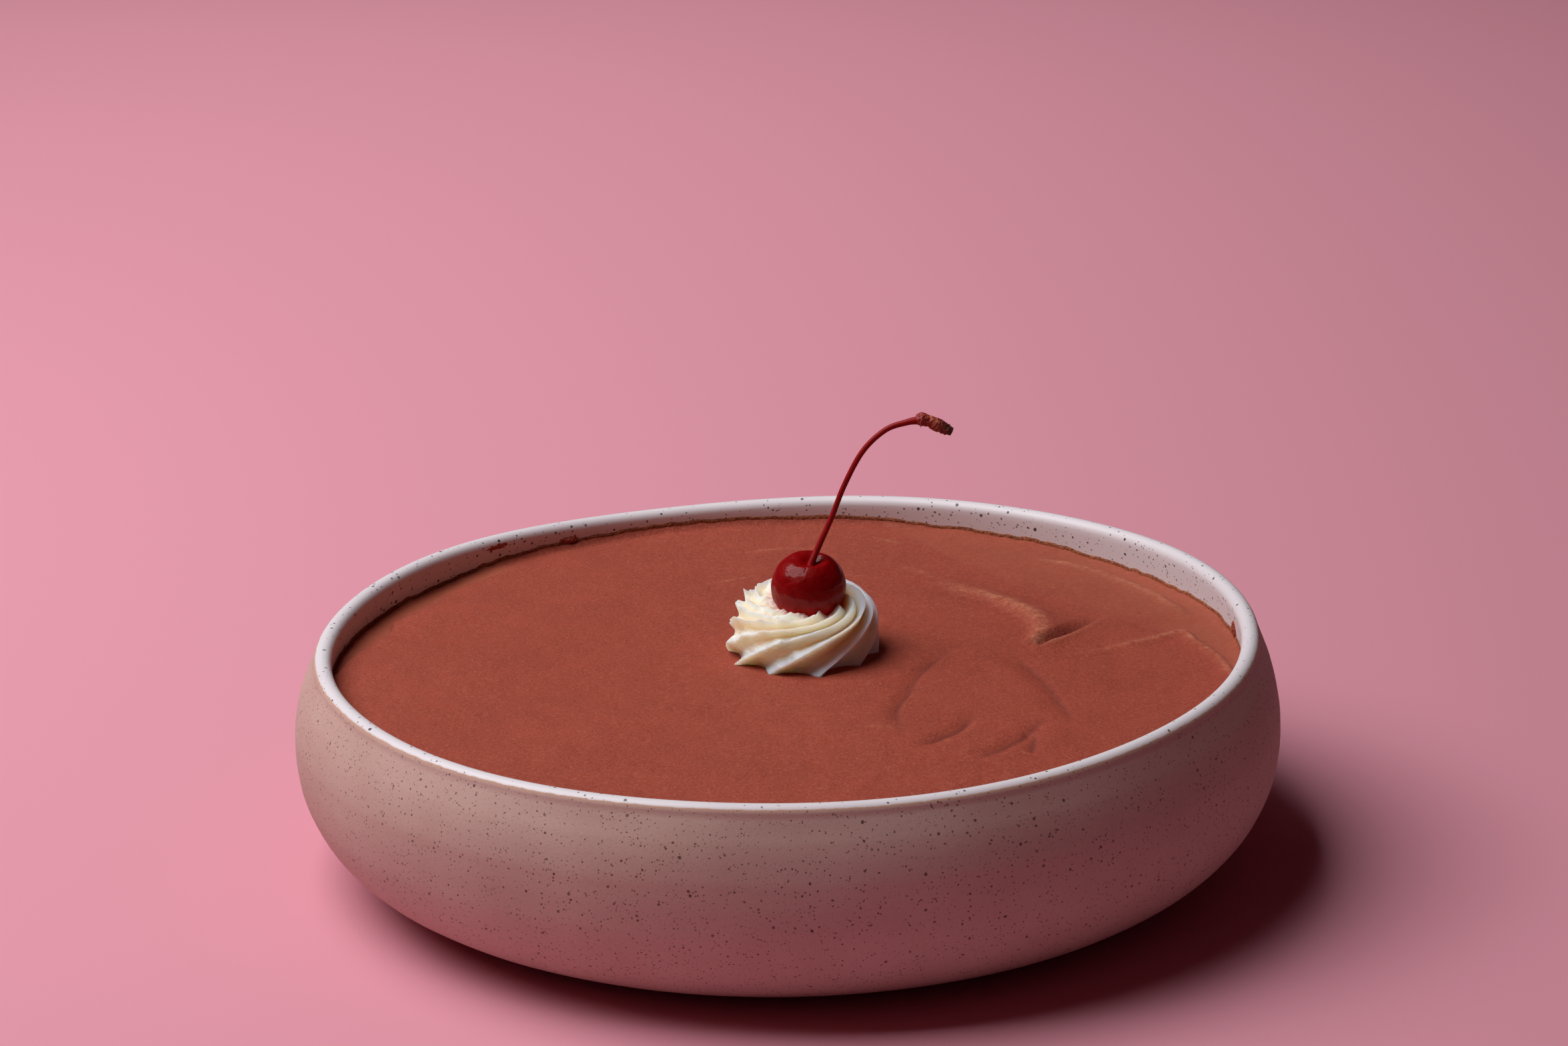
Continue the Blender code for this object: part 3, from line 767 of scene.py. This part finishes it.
    glaze = add(tree, "MixRGB", {0: cloud, 1: linear("#E0D7DD"), 2: linear("#EAE3E7")}).outputs[0]
    glaze_faint = add(tree, "Math", {0: glaze_specks, 1: 0.97}, operation="MULTIPLY").outputs[0]
    glaze = add(tree, "MixRGB", {0: glaze_faint, 1: glaze, 2: linear("#24100A")}).outputs[0]

    # the glaze runs thin at its edge and the clay toasts there
    toast = add(tree, "Math", {0: line, 1: 0.25}, operation="SUBTRACT").outputs[0]
    toast = add(tree, "Math", {0: toast}, operation="ABSOLUTE").outputs[0]
    toast = add(tree, "MapRange", {"Value": toast, 1: 0.0, 2: 0.55, 3: 0.55, 4: 0.0}).outputs[0]
    colour = add(tree, "MixRGB", {0: bare, 1: glaze, 2: clay}).outputs[0]
    colour = add(tree, "MixRGB", {0: toast, 1: colour, 2: linear("#C79A78")}).outputs[0]

    roughness = add(tree, "MapRange", {"Value": bare, 1: 0.0, 2: 1.0, 3: 0.42, 4: 0.7}).outputs[0]
    tooth = add(tree, "TexNoise", {"Vector": place, "Scale": 1 / 0.45, "Detail": 2.0}).outputs["Fac"]
    tooth = add(tree, "Math", {0: tooth, 1: bare}, operation="MULTIPLY").outputs[0]
    pitted = add(tree, "Math", {0: clay_specks, 1: bare}, operation="MULTIPLY").outputs[0]
    tooth = add(tree, "Math", {0: tooth, 1: pitted}, operation="SUBTRACT").outputs[0]
    bump = add(tree, "Bump", {"Strength": 0.5, "Distance": 0.06 * MM, "Height": tooth}).outputs[0]
    shader = add(tree, "BsdfPrincipled", {"Base Color": colour, "Roughness": roughness, "Normal": bump,
                                          "IOR": 1.5, "Specular IOR Level": 0.35})
    add(tree, "OutputMaterial", {"Surface": shader.outputs[0]})
    return material


def whipped_chocolate():
    """Set mousse: matt and velvety from its burst bubbles, smoother where it was scraped."""
    material, tree = new_material("whipped_chocolate")
    place = metric_coordinates(tree)
    stretched = add(tree, "VectorMath", {0: place, 1: (0.8, 1.1, 1.0)}, operation="MULTIPLY").outputs[0]
    scraped = add(tree, "Attribute", attribute_name="scraped").outputs["Fac"]
    cloud = add(tree, "TexNoise", {"Vector": place, "Scale": 1 / 30.0, "Detail": 4.0}).outputs["Fac"]
    colour = add(tree, "MixRGB", {0: cloud, 1: linear("#984130"), 2: linear("#A94A37")}).outputs[0]
    # burst bubbles are 0.1 to 0.3 mm across, too fine to show, so they are drawn at 0.6 to 0.9 mm
    velvet = add(tree, "TexNoise", {"Vector": stretched, "Scale": 1 / 0.9, "Detail": 5.0,
                                    "Roughness": 0.62}).outputs["Fac"]
    lighter = add(tree, "MapRange", {"Value": velvet, 1: 0.5, 2: 0.75, 3: 0.0, 4: 0.42}).outputs[0]
    colour = add(tree, "MixRGB", {0: lighter, 1: colour, 2: linear("#C67459")}).outputs[0]
    darker = add(tree, "MapRange", {"Value": velvet, 1: 0.5, 2: 0.27, 3: 0.0, 4: 0.40}).outputs[0]
    colour = add(tree, "MixRGB", {0: darker, 1: colour, 2: linear("#7C3627")}).outputs[0]
    # painted highlight: the crests' paleness is partly real crumbs and partly the light they catch, painted
    # into the colour
    crest = add(tree, "Attribute", attribute_name="crest").outputs["Fac"]
    crumbs_and_painted_highlight = add(tree, "MapRange", {"Value": velvet, 1: 0.38, 2: 0.62, 3: 0.25, 4: 1.0}).outputs[0]
    crumbs_and_painted_highlight = add(tree, "Math", {0: crumbs_and_painted_highlight, 1: crest}, operation="MULTIPLY").outputs[0]
    colour = add(tree, "MixRGB", {0: crumbs_and_painted_highlight, 1: colour, 2: linear("#CC8061")}).outputs[0]
    # painted shade: a darker line in the creases
    crease_shade = add(tree, "Attribute", attribute_name="crease_shade").outputs["Fac"]
    colour = add(tree, "MixRGB", {0: crease_shade, 1: colour, 2: linear("#6E2E24")}).outputs[0]
    film = add(tree, "Math", {0: scraped, 1: 0.45}, operation="MULTIPLY").outputs[0]
    colour = add(tree, "MixRGB", {0: film, 1: colour, 2: linear("#A05A42")}).outputs[0]
    strength = add(tree, "MapRange", {"Value": scraped, 1: 0.0, 2: 1.0, 3: 1.0, 4: 0.3}).outputs[0]
    bubbles = add(tree, "TexNoise", {"Vector": stretched, "Scale": 1 / 0.6, "Detail": 4.0,
                                     "Roughness": 0.6}).outputs["Fac"]
    patchy = add(tree, "TexNoise", {"Vector": place, "Scale": 1 / 7.0, "Detail": 2.0}).outputs["Fac"]
    patchy = add(tree, "MapRange", {"Value": patchy, 1: 0.3, 2: 0.7, 3: 0.6, 4: 1.15}).outputs[0]
    strength = add(tree, "Math", {0: strength, 1: patchy}, operation="MULTIPLY").outputs[0]
    relief = add(tree, "Math", {0: bubbles, 1: strength}, operation="MULTIPLY").outputs[0]
    bump = add(tree, "Bump", {"Strength": 1.0, "Distance": 0.5 * MM, "Height": relief}).outputs[0]
    shader = add(tree, "BsdfPrincipled", {"Base Color": colour, "Roughness": 0.62, "Normal": bump,
                                          "IOR": 1.45, "Specular IOR Level": 0.3,
                                          "Subsurface Weight": 0.25, "Subsurface Scale": 0.6 * MM,
                                          "Subsurface Radius": (1.0, 0.45, 0.3)})
    add(tree, "OutputMaterial", {"Surface": shader.outputs[0]})
    return material


def dried_chocolate():
    """Dried tide mark: tan to dark brown crumbs of mousse."""
    material, tree = new_material("dried_chocolate")
    place = metric_coordinates(tree)
    mottle = add(tree, "TexNoise", {"Vector": place, "Scale": 1 / 0.7, "Detail": 3.0}).outputs["Fac"]
    mottle = add(tree, "MapRange", {"Value": mottle, 1: 0.35, 2: 0.65}).outputs[0]
    colour = add(tree, "MixRGB", {0: mottle, 1: linear("#6A2F1B"), 2: linear("#A96039")}).outputs[0]
    bump = add(tree, "Bump", {"Strength": 0.6, "Distance": 0.15 * MM, "Height": mottle}).outputs[0]
    shader = add(tree, "BsdfPrincipled", {"Base Color": colour, "Roughness": 0.8, "Normal": bump})
    add(tree, "OutputMaterial", {"Surface": shader.outputs[0]})
    return material


def whipped_cream():
    """Piped cream: it scatters light, its hollows are painted a warmer yellow as painted shade, and cherry
    juice stains it.
    """
    material, tree = new_material("whipped_cream")
    place = metric_coordinates(tree)
    hollow_shade = add(tree, "Attribute", attribute_name="hollow_shade").outputs["Fac"]
    by_cherry = add(tree, "Attribute", attribute_name="by_cherry").outputs["Fac"]
    wander = add(tree, "TexNoise", {"Vector": place, "Scale": 1 / 1.6, "Detail": 3.0}).outputs["Fac"]
    colour = add(tree, "MixRGB", {0: hollow_shade, 1: linear("#FFF6E8"), 2: linear("#FFE3C6")}).outputs[0]
    near = add(tree, "Math", {0: wander, 1: 2.2}, operation="MULTIPLY").outputs[0]
    near = add(tree, "Math", {0: by_cherry, 1: near}, operation="SUBTRACT").outputs[0]
    stain = add(tree, "MapRange", {"Value": near, 1: -0.6, 2: 1.6, 3: 0.75, 4: 0.0}).outputs[0]
    colour = add(tree, "MixRGB", {0: stain, 1: colour, 2: linear("#EFA79B")}).outputs[0]
    # the whipped grain is finer than 0.2 mm, so it is drawn at 0.5 mm to show at all
    grain = add(tree, "TexNoise", {"Vector": place, "Scale": 1 / 0.5, "Detail": 3.0}).outputs["Fac"]
    bump = add(tree, "Bump", {"Strength": 0.6, "Distance": 0.16 * MM, "Height": grain}).outputs[0]
    shader = add(tree, "BsdfPrincipled", {"Base Color": colour, "Roughness": 0.5, "Normal": bump, "IOR": 1.45,
                                          "Subsurface Weight": 1.0, "Subsurface Scale": 6.5 * MM,
                                          "Subsurface Radius": (1.0, 0.7, 0.4)})
    add(tree, "OutputMaterial", {"Surface": shader.outputs[0]})
    return material


def candied_cherry():
    """Cocktail cherry in syrup: clear red flesh under a wet skin."""
    material, tree = new_material("candied_cherry")
    place = metric_coordinates(tree)
    height = add(tree, "SeparateXYZ", {0: place}).outputs["Z"]
    # painted light: the lower part is painted a brighter red, for light glowing through the flesh above the
    # cream
    low = add(tree, "MapRange", {"Value": height, 1: 66.0, 2: 60.0}).outputs[0]
    cloud = add(tree, "TexNoise", {"Vector": place, "Scale": 1 / 5.0, "Detail": 3.0}).outputs["Fac"]
    colour = add(tree, "MixRGB", {0: cloud, 1: linear("#740002"), 2: linear("#8E0004")}).outputs[0]
    colour = add(tree, "MixRGB", {0: low, 1: colour, 2: linear("#B4080C")}).outputs[0]
    flecks = add(tree, "TexNoise", {"Vector": place, "Scale": 1 / 3.0, "Detail": 3.0}).outputs["Fac"]
    bump = add(tree, "Bump", {"Strength": 0.8, "Distance": 0.7 * MM, "Height": flecks}).outputs[0]
    syrup = add(tree, "Bump", {"Strength": 0.8, "Distance": 0.35 * MM, "Height": flecks}).outputs[0]
    shader = add(tree, "BsdfPrincipled", {"Base Color": colour, "Roughness": 0.5, "Normal": bump, "IOR": 1.4,
                                          "Specular IOR Level": 0.1,
                                          "Subsurface Weight": 0.35, "Subsurface Scale": 3.0 * MM,
                                          "Subsurface Radius": (1.0, 0.1, 0.08),
                                          "Coat Weight": 0.22, "Coat Roughness": 0.05, "Coat Normal": syrup})
    add(tree, "OutputMaterial", {"Surface": shader.outputs[0]})
    return material


def dyed_stalk():
    """The stalk, dyed by the syrup and still damp."""
    material, tree = new_material("dyed_stalk")
    place = metric_coordinates(tree)
    streak = add(tree, "VectorMath", {0: place, 1: (1.0, 1.0, 0.25)}, operation="MULTIPLY").outputs[0]
    streak = add(tree, "TexNoise", {"Vector": streak, "Scale": 1 / 0.9, "Detail": 3.0}).outputs["Fac"]
    colour = add(tree, "MixRGB", {0: streak, 1: linear("#7E0409"), 2: linear("#A60E12")}).outputs[0]
    bump = add(tree, "Bump", {"Strength": 0.3, "Distance": 0.1 * MM, "Height": streak}).outputs[0]
    shader = add(tree, "BsdfPrincipled", {"Base Color": colour, "Roughness": 0.5, "Normal": bump,
                                          "Specular IOR Level": 0.2})
    add(tree, "OutputMaterial", {"Surface": shader.outputs[0]})
    return material


def knob_bark():
    """The woody knob: dyed red where it joins the stalk, dark brown at its cut end."""
    material, tree = new_material("knob_bark")
    place = metric_coordinates(tree)
    reach = add(tree, "SeparateXYZ", {0: place}).outputs["X"]
    outward = add(tree, "MapRange", {"Value": reach, 1: 37.0, 2: 42.0}).outputs[0]
    dyed = add(tree, "MapRange", {"Value": reach, 1: 35.0, 2: 37.5, 3: 0.85, 4: 0.0}).outputs[0]
    wrinkle_and_highlight = add(tree, "TexNoise", {"Vector": place, "Scale": 1 / 0.6, "Detail": 4.0}).outputs["Fac"]
    wrinkle_and_highlight = add(tree, "MapRange", {"Value": wrinkle_and_highlight, 1: 0.35, 2: 0.65}).outputs[0]
    # painted highlight: the raised wrinkles are painted a lighter orange, as if they catch the light
    red = add(tree, "MixRGB", {0: wrinkle_and_highlight, 1: linear("#8E120C"), 2: linear("#D06A48")}).outputs[0]
    brown = add(tree, "MixRGB", {0: wrinkle_and_highlight, 1: linear("#2A0C0B"), 2: linear("#6E2A20")}).outputs[0]
    colour = add(tree, "MixRGB", {0: outward, 1: red, 2: brown}).outputs[0]
    colour = add(tree, "MixRGB", {0: dyed, 1: colour, 2: linear("#8E1210")}).outputs[0]
    bump = add(tree, "Bump", {"Strength": 0.6, "Distance": 0.2 * MM, "Height": wrinkle_and_highlight}).outputs[0]
    shader = add(tree, "BsdfPrincipled", {"Base Color": colour, "Roughness": 0.5, "Normal": bump})
    add(tree, "OutputMaterial", {"Surface": shader.outputs[0]})
    return material


# ================================================================ studio

LOOK_AT = Vector((0.0, 0.0, 86.3 * MM))
VIEW_DISTANCE = 931.0 * MM
VIEW_ELEVATION = math.radians(17.04)
VIEW_ROLL = math.radians(-1.05)
LENS = 85.0


def make_studio():
    paper_sheet, floor_tree = new_material("studio_paper")
    paper = add(floor_tree, "BsdfPrincipled", {"Base Color": linear("#DE94A5"), "Roughness": 0.9})
    add(floor_tree, "OutputMaterial", {"Surface": paper.outputs[0]})
    bpy.ops.mesh.primitive_plane_add(size=12.0)
    floor = bpy.context.object
    floor.name = "studio_floor"
    floor.data.materials.append(paper_sheet)

    world = bpy.data.worlds.new("studio_air")
    world.use_nodes = True
    air = world.node_tree.nodes["Background"]
    air.inputs["Color"].default_value = linear("#F28A9C")
    air.inputs["Strength"].default_value = 0.025
    bpy.context.scene.world = world

    def softbox(name, position, aim, size, power):
        lamp = bpy.data.lights.new(name, "AREA")
        lamp.size = size
        lamp.energy = power
        holder = bpy.data.objects.new(name, lamp)
        bpy.context.scene.collection.objects.link(holder)
        holder.location = position
        holder.rotation_euler = (Vector(aim) - Vector(position)).to_track_quat("-Z", "Y").to_euler()
        holder.visible_camera = False

    softbox("softbox", (-0.60, 0.03, 1.04), (0.0, 0.0, 0.05), 0.95, 16.8)
    softbox("paper_light", (-0.5, 1.1, 1.5), (-0.3, 3.2, 0.0), 1.2, 21.0)

    camera = bpy.data.objects.new("camera", bpy.data.cameras.new("camera"))
    bpy.context.scene.collection.objects.link(camera)
    camera.data.lens = LENS
    camera.data.clip_start = 0.05
    away = Vector((0.0, -math.cos(VIEW_ELEVATION), math.sin(VIEW_ELEVATION)))
    camera.location = LOOK_AT + away * VIEW_DISTANCE
    camera.rotation_mode = "QUATERNION"
    camera.rotation_quaternion = (-away).to_track_quat("-Z", "Y")
    camera.rotation_quaternion.rotate(Quaternion(-away, -VIEW_ROLL))
    bpy.context.scene.camera = camera
    bpy.context.scene.view_settings.view_transform = "Standard"


def main():
    make_studio()
    make_bowl(half_glazed_stoneware())
    mousse = whipped_chocolate()
    make_mousse(mousse)
    make_dried_ring(dried_chocolate())
    make_cream(whipped_cream())
    make_cherry(candied_cherry())
    make_stem(dyed_stalk(), knob_bark())
    wall_smear("smear_on_wall", 133.5, 55.4 * MM, 5.0 * MM, 0.9 * MM, 0.25 * MM, 91, mousse)
    wall_smear("lump_on_wall", 121.5, 52.4 * MM, 3.6 * MM, 1.2 * MM, 0.9 * MM, 92, mousse)
    wall_smear("chip_on_wall", 4.0, 53.0 * MM, 2.2 * MM, 2.4 * MM, 0.8 * MM, 93, mousse)


main()
